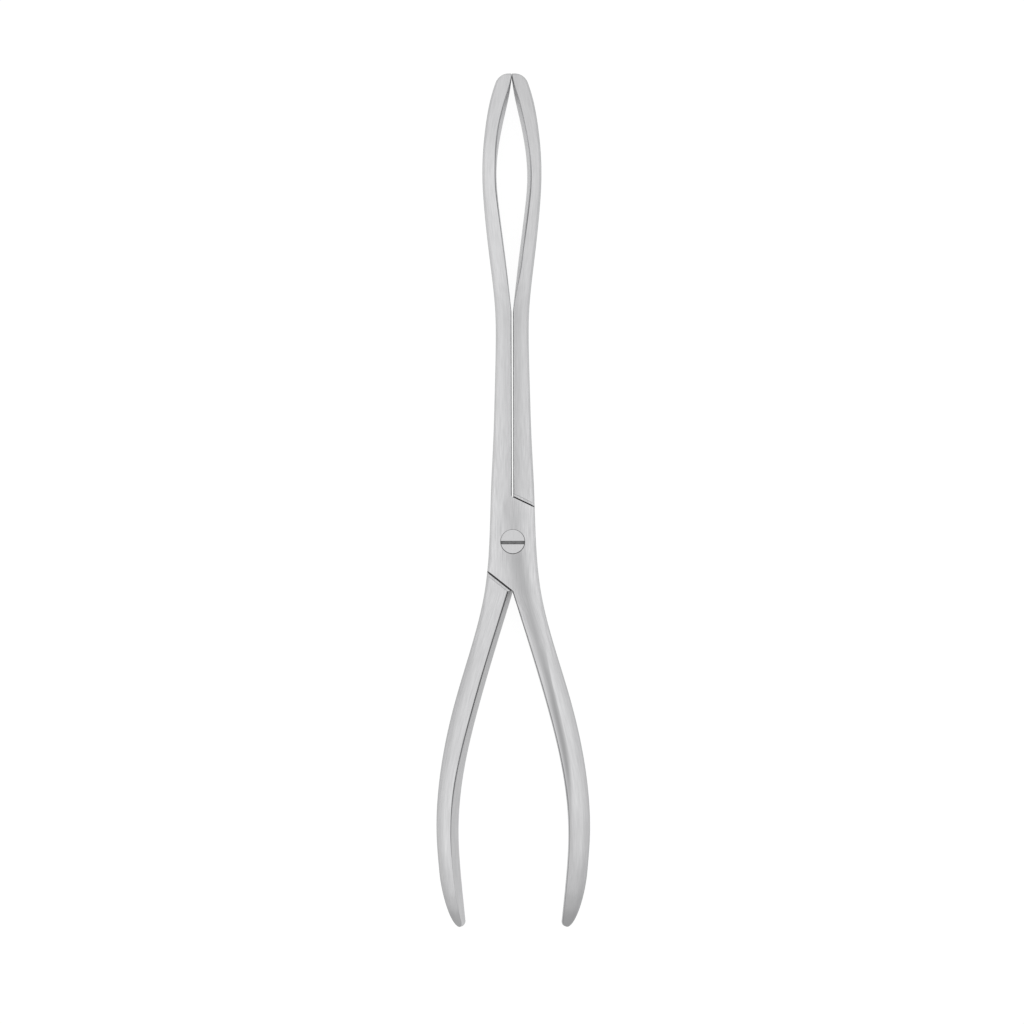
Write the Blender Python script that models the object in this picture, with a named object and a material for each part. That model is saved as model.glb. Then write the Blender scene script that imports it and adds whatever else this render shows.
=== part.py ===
"""Whelping forceps, closed, lying on their back.

Two forged halves cross at a lap joint and turn on a slotted screw. Both halves
are the same forging: the rear half is the front half turned over about its
length, then bored for the screw's thread instead of its head.

Metres. +Y runs from the screw to the jaw tips, +Z out of the front face. The
origin is on the screw's axis, in the plane that the forceps rest on.
"""
import math

import bmesh
import bpy
import numpy as np

# Lengths along the forceps, from the screw's axis to each place.
JAW_REACH = 0.1534
LOOP_END = 0.0755
WAIST_AT = 0.0640
SWELL_AT = 0.0330
FLAT_TOP = 0.0190
FLAT_BOTTOM = 0.0175
CROTCH = 0.0168
FLARE_AT = 0.0523
HANDLE_REACH = 0.1268

# Lengths from the jaw tips back to each place.
PAD_LENGTH = 0.0055
CHEEK_AT = 0.0153
LOOP_WIDEST_AT = 0.0334
HIP_AT = 0.0449
FLANK_AT = 0.0613

# Lengths from the handles' ends back to each place.
CALF_AT = 0.0483
BOW_AT = 0.0302
HEEL_LENGTH = 0.0178

# Half the gap between the two halves, from the centre line to a bar's inner side.
TIP_GAP_HALF = 0.00015
PAD_END_HALF = 0.00067
CHEEK_HALF = 0.00279
LOOP_HALF = 0.00507
HIP_HALF = 0.00414
FLANK_HALF = 0.00208
SLIT_HALF = 0.00024
FLARE_HALF = 0.0107
CALF_HALF = 0.0167
BOW_HALF = 0.01808
HEEL_HALF = 0.01742
HANDLE_END_HALF = 0.0156

# Widths of one bar seen from the front, and half the width of the crossing.
TIP_WIDTH = 0.0043
PAD_WIDTH = 0.0056
LOOP_BAR_WIDTH = 0.00465
HIP_WIDTH = 0.00492
FLANK_WIDTH = 0.0052
THROAT_WIDTH = 0.00533
WAIST_WIDTH = 0.0052
SHANK_WIDTH = 0.0056
SWELL_WIDTH = 0.00607
JOINT_TOP_HALF_WIDTH = 0.0070
BOSS_HALF_WIDTH = 0.00766
CROTCH_HALF_WIDTH = 0.0093
FLARE_WIDTH = 0.00825
CALF_WIDTH = 0.00758
BOW_WIDTH = 0.00714
HEEL_WIDTH = 0.0069

# Depths, front to back.
JOINT_DEPTH = 0.0090
JAW_DEPTH = 0.0090
SHANK_DEPTH = 0.0078
HANDLE_DEPTH = 0.0082
HANDLE_END_DEPTH = 0.0064

# The bars' section: how far the inner wall leans in from its ridge to the front
# edge and to the back edge, how far in the outer side's rounding starts, how
# square that rounding is, and the most of a bar's width that it may take up.
TIP_LEAN = 0.00005
CHEEK_LEAN_FRONT = 0.0009
CHEEK_LEAN_BACK = 0.0010
SHANK_LEAN = 0.00025
CROTCH_LEAN_BACK = 0.0015
HANDLE_LEAN_FRONT = 0.0003
HANDLE_LEAN_BACK = 0.00165
HEEL_LEAN_BACK = 0.0023
JAW_ROUND = 0.0010
BOSS_ROUND = 0.0010
HANDLE_ROUND = 0.0046
ROUND_SHARE = 0.6
SIDE_SQUARENESS = 2.9

# The hollow ground down the inner part of the handle's front: how deep it lies
# under the face, half the width of the slope between the two, the length over
# which it starts, and how far the slope lies from the centre line where it starts
# and from the handle's inner side further down.
LEDGE_DROP = 0.0006
LEDGE_SLOPE = 0.0015
LEDGE_RUN_IN = 0.0085
LEDGE_START_AT = 0.0040
LEDGE_FLARE_INSET = 0.0023
LEDGE_CALF_INSET = 0.0014
LEDGE_BOW_INSET = 0.0008

# Rounded ends. The nose is where the handle thins towards its end, by the drop on
# each face.
TIP_CORNER = 0.0030
TIP_INNER_CORNER = 0.0004
TIP_EDGE = 0.0007
HEEL_CORNER = 0.0020
HEEL_FULLNESS = 1.7
NOSE_LENGTH = 0.0220
NOSE_DROP = 0.0028

# The lap joint. Each boss ends in two edges. Each edge is square to a direction
# from the screw's axis, in degrees up from +X or down from -X, and lies at a
# distance from the axis. The other half's shoulders stand one gap further out,
# so the boss clears them as the forceps open.
UPPER_EDGE_ANGLE = math.radians(64.5)
LOWER_EDGE_ANGLE = math.radians(51.6)
UPPER_EDGE_REACH = 0.01315
LOWER_EDGE_REACH = 0.01266
SHOULDER_GAP = 0.0004
LAP_GAP = 0.0003
CROTCH_RELIEF = 0.0018

# The joint screw.
HEAD_RADIUS = 0.00402
HEAD_HEIGHT = 0.0019
BEARING_RADIUS = 0.0030
THREAD_RADIUS = 0.0026
SCREW_CLEARANCE = 0.0001
SLOT_WIDTH = 0.00108
SLOT_DEPTH = 0.0011
SLOT_OFFSET = 0.00042

# How finely the surfaces are divided.
FACE_POINTS = 7
SIDE_POINTS = 11
STATION_STEP = 0.0045
TIP_STATIONS = 6
HEEL_STATIONS = 9
ROUND_SEGMENTS = 64
EDGE_END_SHARES = (1.05, 0.6, 0.3, 0.12, 0.0)

MIDDLE = JOINT_DEPTH / 2
BEYOND = 0.02
END_FULLNESS = 0.995


def clear_scene():
    for old in list(bpy.data.objects):
        bpy.data.objects.remove(old, do_unlink=True)


def satin_steel(name, colour, roughness):
    material = bpy.data.materials.new(name)
    material.use_nodes = True
    shader = material.node_tree.nodes["Principled BSDF"]
    shader.inputs["Base Color"].default_value = (*colour, 1.0)
    shader.inputs["Metallic"].default_value = 1.0
    shader.inputs["Roughness"].default_value = roughness
    return material


def smooth_line(points):
    """The natural cubic spline through (y, value) points, as a function of y."""
    ys, values = (np.array(column) for column in zip(*sorted(points)))
    gaps = np.diff(ys)
    slopes = np.diff(values) / gaps
    system = np.eye(len(ys))
    target = np.zeros(len(ys))
    for i in range(1, len(ys) - 1):
        system[i, i - 1:i + 2] = gaps[i - 1], 2 * (gaps[i - 1] + gaps[i]), gaps[i]
        target[i] = 6 * (slopes[i] - slopes[i - 1])
    bends = np.linalg.solve(system, target)

    def value_at(y):
        i = int(np.clip(np.searchsorted(ys, y) - 1, 0, len(ys) - 2))
        gap, past, left = gaps[i], y - ys[i], ys[i + 1] - y
        bend = (bends[i] * left ** 3 + bends[i + 1] * past ** 3) / (6 * gap)
        from_start = (values[i] / gap - bends[i] * gap / 6) * left
        from_end = (values[i + 1] / gap - bends[i + 1] * gap / 6) * past
        return float(bend + from_start + from_end)

    return value_at


def ease(t):
    """A smooth step from 0 to 1 as t goes from 0 to 1."""
    t = min(max(t, 0.0), 1.0)
    return t * t * (3 - 2 * t)


def eased_line(points):
    """Goes smoothly from each (y, value) point to the next, level at each point."""
    ordered = sorted(points)

    def value_at(y):
        value = ordered[0][1]
        for (y_0, value_0), (y_1, value_1) in zip(ordered, ordered[1:]):
            value += (value_1 - value_0) * ease((y - y_0) / (y_1 - y_0))
        return value

    return value_at


PAD_Y = JAW_REACH - PAD_LENGTH
CHEEK_Y = JAW_REACH - CHEEK_AT
LOOP_Y = JAW_REACH - LOOP_WIDEST_AT
HIP_Y = JAW_REACH - HIP_AT
FLANK_Y = JAW_REACH - FLANK_AT
SHANK_Y = (LOOP_END + FLAT_TOP) / 2
CALF_Y = CALF_AT - HANDLE_REACH
BOW_Y = BOW_AT - HANDLE_REACH
HEEL_Y = HEEL_LENGTH - HANDLE_REACH

# From the centre line to the inner side of the jaw bar, to the inner side of the
# handle bar, and to the outer side of both.
jaw_inside = smooth_line([
    (JAW_REACH, 0.0),
    (PAD_Y, PAD_END_HALF),
    (CHEEK_Y, CHEEK_HALF),
    (LOOP_Y, LOOP_HALF),
    (HIP_Y, HIP_HALF),
    (FLANK_Y, FLANK_HALF),
    (LOOP_END, SLIT_HALF),
])
handle_inside = smooth_line([
    (-CROTCH, 0.0),
    (-FLARE_AT, FLARE_HALF),
    (CALF_Y, CALF_HALF),
    (BOW_Y, BOW_HALF),
    (HEEL_Y, HEEL_HALF),
    (-HANDLE_REACH, HANDLE_END_HALF),
])
outside = smooth_line([
    (JAW_REACH, TIP_GAP_HALF + TIP_WIDTH),
    (PAD_Y, PAD_END_HALF + PAD_WIDTH),
    (CHEEK_Y, CHEEK_HALF + PAD_WIDTH),
    (LOOP_Y, LOOP_HALF + LOOP_BAR_WIDTH),
    (HIP_Y, HIP_HALF + HIP_WIDTH),
    (FLANK_Y, FLANK_HALF + FLANK_WIDTH),
    (LOOP_END, SLIT_HALF + THROAT_WIDTH),
    (WAIST_AT, SLIT_HALF + WAIST_WIDTH),
    (SHANK_Y, SLIT_HALF + SHANK_WIDTH),
    (SWELL_AT, SLIT_HALF + SWELL_WIDTH),
    (FLAT_TOP, JOINT_TOP_HALF_WIDTH),
    (0.0, BOSS_HALF_WIDTH),
    (-CROTCH, CROTCH_HALF_WIDTH),
    (-FLARE_AT, FLARE_HALF + FLARE_WIDTH),
    (CALF_Y, CALF_HALF + CALF_WIDTH),
    (BOW_Y, BOW_HALF + BOW_WIDTH),
    (HEEL_Y, HEEL_HALF + HEEL_WIDTH),
])
depth = eased_line([
    (FLANK_Y, JAW_DEPTH),
    (LOOP_END, SHANK_DEPTH),
    (SHANK_Y, SHANK_DEPTH),
    (FLAT_TOP, JOINT_DEPTH),
    (-FLAT_BOTTOM, JOINT_DEPTH),
    (-FLARE_AT, HANDLE_DEPTH),
    (BOW_Y, HANDLE_DEPTH),
    (-HANDLE_REACH, HANDLE_END_DEPTH),
])
lean_front = eased_line([
    (JAW_REACH, TIP_LEAN),
    (CHEEK_Y + PAD_LENGTH, CHEEK_LEAN_FRONT),
    (CHEEK_Y, CHEEK_LEAN_FRONT),
    (LOOP_Y, SHANK_LEAN),
    (-CROTCH, SHANK_LEAN),
    (-FLARE_AT, HANDLE_LEAN_FRONT),
])
lean_back = eased_line([
    (JAW_REACH, TIP_LEAN),
    (CHEEK_Y + PAD_LENGTH, CHEEK_LEAN_BACK),
    (FLANK_Y, CHEEK_LEAN_BACK),
    (LOOP_END, SHANK_LEAN),
    (0.0, SHANK_LEAN),
    (-CROTCH, CROTCH_LEAN_BACK),
    (-FLARE_AT, HANDLE_LEAN_BACK),
    (BOW_Y, HEEL_LEAN_BACK),
])
rounding = eased_line([
    (LOOP_END, JAW_ROUND),
    (FLAT_TOP, BOSS_ROUND),
    (-FLAT_BOTTOM, BOSS_ROUND),
    (-FLARE_AT, HANDLE_ROUND),
])

# The hollow on the handle's front: how far its slope lies from the centre line,
# and how deep it is at each place.
hollow_at = smooth_line([
    (-FLAT_BOTTOM, LEDGE_START_AT),
    (-FLARE_AT, FLARE_HALF + LEDGE_FLARE_INSET),
    (CALF_Y, CALF_HALF + LEDGE_CALF_INSET),
    (BOW_Y, BOW_HALF + LEDGE_BOW_INSET),
])
hollow_depth = eased_line([
    (-FLAT_BOTTOM, 0.0),
    (-FLAT_BOTTOM - LEDGE_RUN_IN, LEDGE_DROP),
    (CALF_Y, LEDGE_DROP),
    (BOW_Y, 0.0),
])


def corner_loss(past_start, radius):
    """How much a rounded corner takes off, past_start beyond where it begins."""
    into = min(max(past_start, 0.0), radius)
    return radius - math.sqrt(radius ** 2 - into ** 2)


def jaw_line(y):
    """The inner side of the jaw bar, and of the shank below the loop."""
    if y < LOOP_END:
        return SLIT_HALF
    corner = corner_loss(y - (JAW_REACH - TIP_INNER_CORNER), TIP_INNER_CORNER)
    return max(jaw_inside(y), TIP_GAP_HALF) + END_FULLNESS * corner


def handle_line(y):
    """The inner side of the handle bar, with the heel's inner corner."""
    start = -(HANDLE_REACH - HEEL_CORNER)
    return handle_inside(y) + END_FULLNESS * corner_loss(start - y, HEEL_CORNER)


def bar_width(y):
    inner = jaw_line(y) if y > 0 else max(handle_line(y), 0.0)
    return outer_line(y) - inner


def outer_line(y):
    """The outer side of either bar, with the tip's corner and the heel's sweep."""
    if y >= HEEL_Y:
        return outside(y) - corner_loss(y - (JAW_REACH - TIP_CORNER), TIP_CORNER)
    share = END_FULLNESS * (HEEL_Y - y) / HEEL_LENGTH
    sweep = (HEEL_WIDTH - HEEL_CORNER) * math.sqrt(1 - share ** HEEL_FULLNESS)
    return handle_inside(y) + HEEL_CORNER + sweep


def half_depth(y):
    drop = min(NOSE_DROP, END_FULLNESS * HANDLE_END_DEPTH / 2)
    into_nose = END_FULLNESS * max(-y - (HANDLE_REACH - NOSE_LENGTH), 0.0) / NOSE_LENGTH
    at_tip = corner_loss(y - (JAW_REACH - TIP_EDGE), TIP_EDGE)
    at_heel = drop * (1 - math.sqrt(1 - into_nose ** 2))
    return depth(y) / 2 - at_tip - at_heel


def upper_edge(y):
    """Where the boss's upper edge crosses the section at y."""
    rise = math.sin(UPPER_EDGE_ANGLE) * y
    return (UPPER_EDGE_REACH - rise) / math.cos(UPPER_EDGE_ANGLE)


def lower_edge(y):
    """Where the boss's lower edge crosses the section at y."""
    rise = math.sin(LOWER_EDGE_ANGLE) * y
    return -(LOWER_EDGE_REACH + rise) / math.cos(LOWER_EDGE_ANGLE)


def crossing(line_a, line_b, low, high):
    """The y between low and high at which two lines meet."""
    low_side = line_a(low) > line_b(low)
    for _ in range(40):
        y = (low + high) / 2
        if (line_a(y) > line_b(y)) == low_side:
            low = y
        else:
            high = y
    return y


def outer_side(y, half):
    """The rounded outer side, front to back, as (distance from centre line, z)."""
    radius = min(rounding(y), bar_width(y) * ROUND_SHARE)
    power = 2 / SIDE_SQUARENESS
    points = []
    for k in range(SIDE_POINTS):
        turn = math.pi * k / (SIDE_POINTS - 1)
        bulge = math.sin(turn) ** power if 0 < k < SIDE_POINTS - 1 else 0.0
        height = math.copysign(abs(math.cos(turn)) ** power, math.cos(turn))
        points.append((outer_line(y) - radius * (1 - bulge), MIDDLE + half * height))
    return points


def inner_wall(y, half):
    """The inner wall, front to back, as (distance in from its ridge, z)."""
    front = min(lean_front(y), bar_width(y) / 3)
    back = min(lean_back(y), bar_width(y) / 3)
    ridge = MIDDLE + half * (1 - 2 * front / (front + back))
    top = MIDDLE + half - hollow_depth(y)
    bottom = MIDDLE - half
    middle = SIDE_POINTS // 2
    points = []
    for k in range(SIDE_POINTS):
        if k <= middle:
            t = k / middle
            points.append((front * (1 - t), top + (ridge - top) * t))
        else:
            t = (k - middle) / (SIDE_POINTS - 1 - middle)
            points.append((back * t, ridge + (bottom - ridge) * t))
    return points


UPPER_CORNER_Y = crossing(upper_edge, lambda y: -jaw_line(y), 0.0, JAW_REACH / 2)
UPPER_END_Y = crossing(upper_edge, outer_line, 0.0, UPPER_CORNER_Y)
LOWER_CORNER_Y = crossing(lower_edge, handle_inside, HEEL_Y / 2, 0.0)
LOWER_END_Y = crossing(lower_edge, lambda y: -outer_line(y), LOWER_CORNER_Y, 0.0)


def face_xs(start, end):
    """Even steps across a face, between the x of its two edges."""
    shares = [k / (FACE_POINTS + 1) for k in range(1, FACE_POINTS + 1)]
    return [start + (end - start) * share for share in shares]


def front_height(x, y, half):
    """How high the front face lies at x, with the handle's hollow."""
    past = (x - hollow_at(y)) / LEDGE_SLOPE
    return MIDDLE + half - hollow_depth(y) * (1 - ease((past + 1) / 2))


def section(y):
    """The front half's outline at y, as (x, z) points in one turn."""
    half = half_depth(y)
    outer = outer_side(y, half)
    if y > UPPER_CORNER_Y:
        right = [(-jaw_line(y) - inset, z) for inset, z in inner_wall(y, half)]
    else:
        right = [(min(reach, upper_edge(y)), z) for reach, z in outer]
    if y < LOWER_CORNER_Y:
        left = [(handle_line(y) + inset, z) for inset, z in inner_wall(y, half)]
    else:
        left = [(max(-reach, lower_edge(y)), z) for reach, z in outer]
    left.reverse()
    back = [(x, MIDDLE - half) for x in face_xs(right[-1][0], left[0][0])]
    across = face_xs(left[-1][0], right[0][0])
    front = [(x, front_height(x, y, half)) for x in across]
    return right + back + left + front


def edge_ends(end_y, angle):
    """Places, outermost last, where a boss edge runs out over the rounded side.

    They crowd towards the outermost, where the side turns fastest.
    """
    run_out = BOSS_ROUND / math.tan(angle)
    return [end_y + run_out * share for share in EDGE_END_SHARES]


def stations():
    """The places along the length at which the forging's sections are taken."""
    tip_start = JAW_REACH - TIP_CORNER
    marks = [
        tip_start,
        PAD_Y,
        LOOP_END,
        FLAT_TOP,
        UPPER_CORNER_Y + SHOULDER_GAP,
        UPPER_CORNER_Y,
        *edge_ends(UPPER_END_Y, UPPER_EDGE_ANGLE),
        *reversed(edge_ends(LOWER_END_Y, -LOWER_EDGE_ANGLE)),
        LOWER_CORNER_Y,
        LOWER_CORNER_Y - SHOULDER_GAP,
        -CROTCH - CROTCH_RELIEF,
        HEEL_Y,
    ]
    places = []
    for k in range(TIP_STATIONS, 0, -1):
        turn = math.pi / 2 * k / TIP_STATIONS
        places.append(tip_start + TIP_CORNER * math.sin(turn))
    for start, end in zip(marks, marks[1:]):
        count = max(1, math.ceil((start - end) / STATION_STEP))
        places += [start + (end - start) * k / count for k in range(count)]
    for k in range(HEEL_STATIONS + 1):
        turn = math.pi / 2 * k / HEEL_STATIONS
        places.append(HEEL_Y - HEEL_LENGTH * math.sin(turn))
    return places


def finish_mesh(bm, name):
    """Closes bm into a mesh. It is in triangles, so that the cuts leave clean edges."""
    bmesh.ops.recalc_face_normals(bm, faces=bm.faces)
    bmesh.ops.triangulate(bm, faces=bm.faces)
    mesh = bpy.data.meshes.new(name)
    bm.to_mesh(mesh)
    bm.free()
    mesh.shade_smooth()
    mesh.set_sharp_from_angle(angle=math.radians(30))
    return mesh


def add_object(name, mesh, material=None):
    obj = bpy.data.objects.new(name, mesh)
    bpy.context.scene.collection.objects.link(obj)
    if material:
        mesh.materials.clear()
        mesh.materials.append(material)
    return obj


def skin(name, rings):
    """A closed solid through rings of equally many points."""
    bm = bmesh.new()
    loops = [[bm.verts.new(point) for point in ring] for ring in rings]
    for near, far in zip(loops, loops[1:]):
        for k in range(len(near)):
            after = (k + 1) % len(near)
            bm.faces.new((near[k], near[after], far[after], far[k]))
    bm.faces.new(loops[0])
    bm.faces.new(loops[-1])
    return finish_mesh(bm, name)


def forging_mesh():
    rings = [[(x, y, z) for x, z in section(y)] for y in stations()]
    return skin("forging", rings)


def turned_mesh(name, profile):
    """A solid of revolution about Z from (radius, z) points."""
    turns = [2 * math.pi * k / ROUND_SEGMENTS for k in range(ROUND_SEGMENTS)]
    rings = [[(r * math.cos(a), r * math.sin(a), z) for a in turns] for r, z in profile]
    return skin(name, rings)


def prism_mesh(name, outline, low, high):
    return skin(name, [[(x, y, z) for x, y in outline] for z in (low, high)])


def turn_over(obj):
    """Turns a front piece about its length into its place at the rear."""
    obj.rotation_euler = (0.0, math.pi, 0.0)
    obj.location = (0.0, 0.0, JOINT_DEPTH)
    return obj


def cutter(name, mesh):
    obj = add_object(name, mesh)
    obj.hide_render = True
    obj.display_type = "WIRE"
    return obj


def cut(obj, tool):
    boolean = obj.modifiers.new(tool.name, "BOOLEAN")
    boolean.operation = "DIFFERENCE"
    boolean.solver = "EXACT"
    boolean.object = tool


def recess_mesh():
    """The room in a half's rear layer for the other half's boss."""
    upper = UPPER_EDGE_REACH + SHOULDER_GAP
    lower = LOWER_EDGE_REACH + SHOULDER_GAP
    corner = SHOULDER_GAP - lower_edge(LOWER_CORNER_Y)

    def upper_shoulder(x):
        return (upper + math.cos(UPPER_EDGE_ANGLE) * x) / math.sin(UPPER_EDGE_ANGLE)

    def lower_shoulder(x):
        return (math.cos(LOWER_EDGE_ANGLE) * x - lower) / math.sin(LOWER_EDGE_ANGLE)

    outline = [
        (-BEYOND, upper_shoulder(-BEYOND)),
        (-BEYOND, -CROTCH - CROTCH_RELIEF),
        (0.0, -CROTCH - CROTCH_RELIEF),
        (corner, lower_shoulder(corner)),
        (BEYOND, lower_shoulder(BEYOND)),
        (BEYOND, upper_shoulder(0.0)),
        (0.0, upper_shoulder(0.0)),
    ]
    return prism_mesh("recess", outline, -BEYOND, MIDDLE + LAP_GAP / 2)


def head_bore_mesh():
    bearing = BEARING_RADIUS + SCREW_CLEARANCE
    head = HEAD_RADIUS + SCREW_CLEARANCE
    seat = JOINT_DEPTH - HEAD_HEIGHT - SCREW_CLEARANCE
    profile = [(bearing, 0.0), (bearing, seat), (head, seat), (head, JOINT_DEPTH + BEYOND)]
    return turned_mesh("head_bore", profile)


def thread_bore_mesh():
    radius = THREAD_RADIUS + SCREW_CLEARANCE
    return turned_mesh("thread_bore", [(radius, -BEYOND), (radius, JOINT_DEPTH)])


def screw_mesh():
    under_head = JOINT_DEPTH - HEAD_HEIGHT
    profile = [
        (THREAD_RADIUS, 0.0),
        (THREAD_RADIUS, MIDDLE),
        (BEARING_RADIUS, MIDDLE),
        (BEARING_RADIUS, under_head),
        (HEAD_RADIUS, under_head),
        (HEAD_RADIUS, JOINT_DEPTH),
    ]
    return turned_mesh("pivot_screw", profile)


def slot_mesh():
    half = SLOT_WIDTH / 2
    outline = [
        (-BEYOND, -SLOT_OFFSET - half),
        (BEYOND, -SLOT_OFFSET - half),
        (BEYOND, -SLOT_OFFSET + half),
        (-BEYOND, -SLOT_OFFSET + half),
    ]
    return prism_mesh("slot", outline, JOINT_DEPTH - SLOT_DEPTH, JOINT_DEPTH + BEYOND)


def build():
    clear_scene()
    brushed = satin_steel("satin brushed stainless steel", (0.62, 0.63, 0.63), 0.38)
    bright = satin_steel("turned stainless steel", (0.64, 0.65, 0.65), 0.32)

    forging = forging_mesh()
    recess = recess_mesh()

    front_half = add_object("front_half", forging, brushed)
    cut(front_half, cutter("front_recess", recess))
    cut(front_half, cutter("head_bore", head_bore_mesh()))

    rear_half = turn_over(add_object("rear_half", forging))
    cut(rear_half, turn_over(cutter("rear_recess", recess)))
    cut(rear_half, cutter("thread_bore", thread_bore_mesh()))

    pivot_screw = add_object("pivot_screw", screw_mesh(), bright)
    cut(pivot_screw, cutter("screw_slot", slot_mesh()))


build()
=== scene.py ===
"""The looks of the whelping forceps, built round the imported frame.

The three nodes are replaced by finer meshes of the same form: two forged halves,
which are one forging and the same forging turned over, and the joint screw.
Metres, in the frame's axes: +Y from the screw to the jaw tips, +Z out of the
front face, with the screw's axis along Z through the origin.
"""
import math

import bmesh
import bpy
import numpy as np
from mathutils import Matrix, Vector


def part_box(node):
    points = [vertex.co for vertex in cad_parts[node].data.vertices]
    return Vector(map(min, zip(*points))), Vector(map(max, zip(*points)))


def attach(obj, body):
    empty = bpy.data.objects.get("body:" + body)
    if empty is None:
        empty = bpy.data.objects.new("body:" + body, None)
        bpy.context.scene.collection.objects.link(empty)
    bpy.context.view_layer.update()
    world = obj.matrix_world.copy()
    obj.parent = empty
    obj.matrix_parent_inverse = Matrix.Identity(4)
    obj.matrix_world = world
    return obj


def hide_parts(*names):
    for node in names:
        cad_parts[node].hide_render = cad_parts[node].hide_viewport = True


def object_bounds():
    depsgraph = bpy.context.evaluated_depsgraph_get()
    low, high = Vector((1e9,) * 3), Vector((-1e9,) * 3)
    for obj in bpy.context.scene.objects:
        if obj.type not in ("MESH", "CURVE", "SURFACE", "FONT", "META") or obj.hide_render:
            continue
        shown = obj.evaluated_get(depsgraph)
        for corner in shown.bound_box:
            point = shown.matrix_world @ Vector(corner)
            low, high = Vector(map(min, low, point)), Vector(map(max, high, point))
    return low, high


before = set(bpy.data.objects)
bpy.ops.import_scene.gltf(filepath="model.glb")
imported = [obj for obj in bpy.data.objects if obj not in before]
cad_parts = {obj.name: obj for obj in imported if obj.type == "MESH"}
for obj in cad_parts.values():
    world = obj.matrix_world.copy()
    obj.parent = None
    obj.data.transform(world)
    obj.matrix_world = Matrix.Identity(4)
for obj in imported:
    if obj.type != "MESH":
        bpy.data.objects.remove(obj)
cad_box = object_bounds()

# Taken from the frame: how far it reaches, and how deep it is.
HANDLE_REACH = -cad_box[0].y
JAW_REACH = cad_box[1].y
JOINT_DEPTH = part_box("front_half")[1].z

# Lengths along the forceps, from the screw's axis to each place.
LOOP_END = 0.0755
WAIST_AT = 0.0640
SWELL_AT = 0.0330
FLAT_TOP = 0.0190
FLAT_BOTTOM = 0.0175
CROTCH = 0.0168
FLARE_AT = 0.0523

# Lengths from the screw's axis to more places where the painted shade changes, most of
# them in the hollow: up to the first three, and down the boss and the handle to the others.
HOLLOW_FADE_AT = 0.0200
HOLLOW_TOP_AT = 0.0150
OVER_SCREW_AT = 0.0070
UNDER_SCREW_AT = 0.0060
BOSS_FOOT_AT = 0.0130
FORK_AT = 0.0190
FORK_OUTSIDE_AT = 0.0220
FORK_INSIDE_AT = 0.0250
NECK_AT = 0.0323
ARM_AT = 0.0460
BEND_AT = 0.0650
LEDGE_END_AT = 0.0850

# The painted shade also changes at even steps down the handle, the first at its neck.
HANDLE_STEP = 0.0131

# Lengths from the jaw tips back to each place.
# The first: how far the painted shade where the tips meet reaches; the next four bound the
# painted shade in the hollow behind the pad.
TIP_SHADE_LENGTH = 0.0020
PAD_HOLLOW_START = 0.0049
PAD_HOLLOW_FULL = 0.0060
PAD_HOLLOW_FADE = 0.0080
PAD_HOLLOW_END = 0.0105
PAD_LENGTH = 0.0055
UNDER_PAD_AT = 0.0085
CHEEK_AT = 0.0153
UNDER_CHEEK_AT = 0.0233
LOOP_WIDEST_AT = 0.0334
HIP_AT = 0.0449
FLANK_AT = 0.0613

# Lengths from the handles' ends back to each place.
CALF_AT = 0.0483
BOW_AT = 0.0302
HEEL_LENGTH = 0.0178
# The last two: where the painted shade on the sloping nose deepens, and where it is darkest.
NOSE_SHADE_AT = 0.0077
NOSE_DARKEST_AT = 0.0033

# Half the gap between the two halves, from the centre line to a bar's inner side. The
# inner side's curve crosses the centre line by TIP_OVERLAP at the tips, but the metal
# stops TIP_GAP_HALF before it, so the tips look closed over a short length.
TIP_GAP_HALF = 0.00001
TIP_OVERLAP = 0.0001
PAD_END_HALF = 0.00067
CHEEK_HALF = 0.00279
LOOP_HALF = 0.00507
HIP_HALF = 0.00414
FLANK_HALF = 0.00208
SLIT_HALF = 0.00024
FLARE_HALF = 0.0107
CALF_HALF = 0.0167
BOW_HALF = 0.01808
HEEL_HALF = 0.01742
HANDLE_END_HALF = 0.0156

# Widths of one bar seen from the front, and half the width of the crossing.
TIP_WIDTH = 0.0043
PAD_WIDTH = 0.0056
LOOP_BAR_WIDTH = 0.00465
HIP_WIDTH = 0.00492
FLANK_WIDTH = 0.0052
THROAT_WIDTH = 0.00533
WAIST_WIDTH = 0.0052
SHANK_WIDTH = 0.0056
SWELL_WIDTH = 0.00607
JOINT_TOP_HALF_WIDTH = 0.0070
BOSS_HALF_WIDTH = 0.00766
CROTCH_HALF_WIDTH = 0.0093
FLARE_WIDTH = 0.00825
CALF_WIDTH = 0.00758
BOW_WIDTH = 0.00714
HEEL_WIDTH = 0.0069

# Depths, front to back.
JAW_DEPTH = 0.0090
SHANK_DEPTH = 0.0078
HANDLE_DEPTH = 0.0082
HANDLE_END_DEPTH = 0.0064

# The bars' section: how far the inner wall leans in from its ridge to the front
# edge and to the back edge, and how far in the outer side's rounding starts.
TIP_LEAN = 0.00005
CHEEK_LEAN_FRONT = 0.0009
CHEEK_LEAN_BACK = 0.0010
SHANK_LEAN = 0.00025
CROTCH_LEAN_BACK = 0.0015
HANDLE_LEAN_FRONT = 0.0003
HANDLE_LEAN_BACK = 0.00165
HEEL_LEAN_BACK = 0.0023
JAW_ROUND = 0.0010
BOSS_ROUND = 0.0010
HANDLE_ROUND = 0.0046
SIDE_SQUARENESS = 2.9
ROUND_SHARE = 0.6

# The hollow ground down the inner part of the handle's front: how deep it lies
# under the face, half the width of the slope between the two, the length over
# which it starts, and how far the slope lies from the centre line where it starts
# and from the handle's inner side further down.
LEDGE_DROP = 0.0006
LEDGE_SLOPE = 0.0015
LEDGE_RUN_IN = 0.0085
LEDGE_START_AT = 0.0040
LEDGE_FLARE_INSET = 0.0023
LEDGE_CALF_INSET = 0.0014
LEDGE_BOW_INSET = 0.0008

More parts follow.
